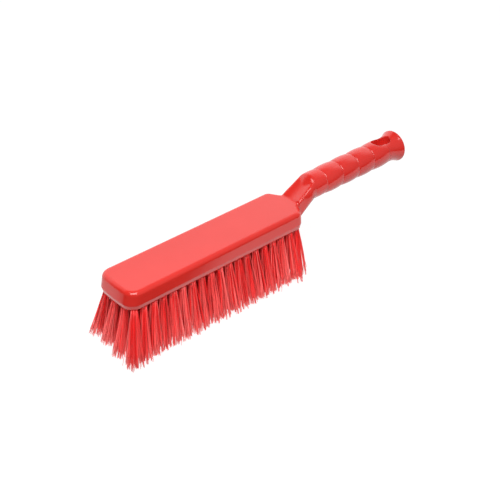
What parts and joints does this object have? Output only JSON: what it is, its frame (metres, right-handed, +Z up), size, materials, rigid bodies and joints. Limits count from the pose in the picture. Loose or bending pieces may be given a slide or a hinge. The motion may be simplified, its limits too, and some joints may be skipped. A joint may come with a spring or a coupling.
{
  "type": "hand broom",
  "caption": "Long red hand broom: a moulded block and ringed grip in one piece, hung by a slot in its flared end, with soft bristle tufts that splay at the front.",
  "frame": {"origin": "under the middle of the whole broom, on the plane that the bristle tips stand on", "axes": "+X from the block's free end to the end of the handle, +Y across the block, +Z up from the bristle tips to the block"},
  "size_m": [0.3388, 0.062, 0.0849],
  "materials": {
    "body": "smooth moulded red polypropylene, glossy",
    "bristle": "red polyester filament with a soft sheen",
    "anchor": "bare flat stainless wire"
  },
  "bodies": {
    "root": {"block_and_handle": "body", "tuft_row_01": "bristle", "tuft_row_02": "bristle", "tuft_row_03": "bristle", "tuft_row_04": "bristle", "tuft_row_05": "bristle", "tuft_row_06": "bristle", "tuft_row_07": "bristle", "tuft_row_08": "bristle", "tuft_row_09": "bristle", "tuft_row_10": "bristle", "tuft_row_11": "bristle", "tuft_row_12": "bristle", "tuft_row_13": "bristle", "tuft_row_14": "bristle", "tuft_row_15": "bristle", "tuft_row_16": "bristle", "tuft_row_17": "bristle", "tuft_row_18": "bristle", "tuft_row_19": "bristle", "tuft_anchors": "anchor"}
  },
  "joints": []
}
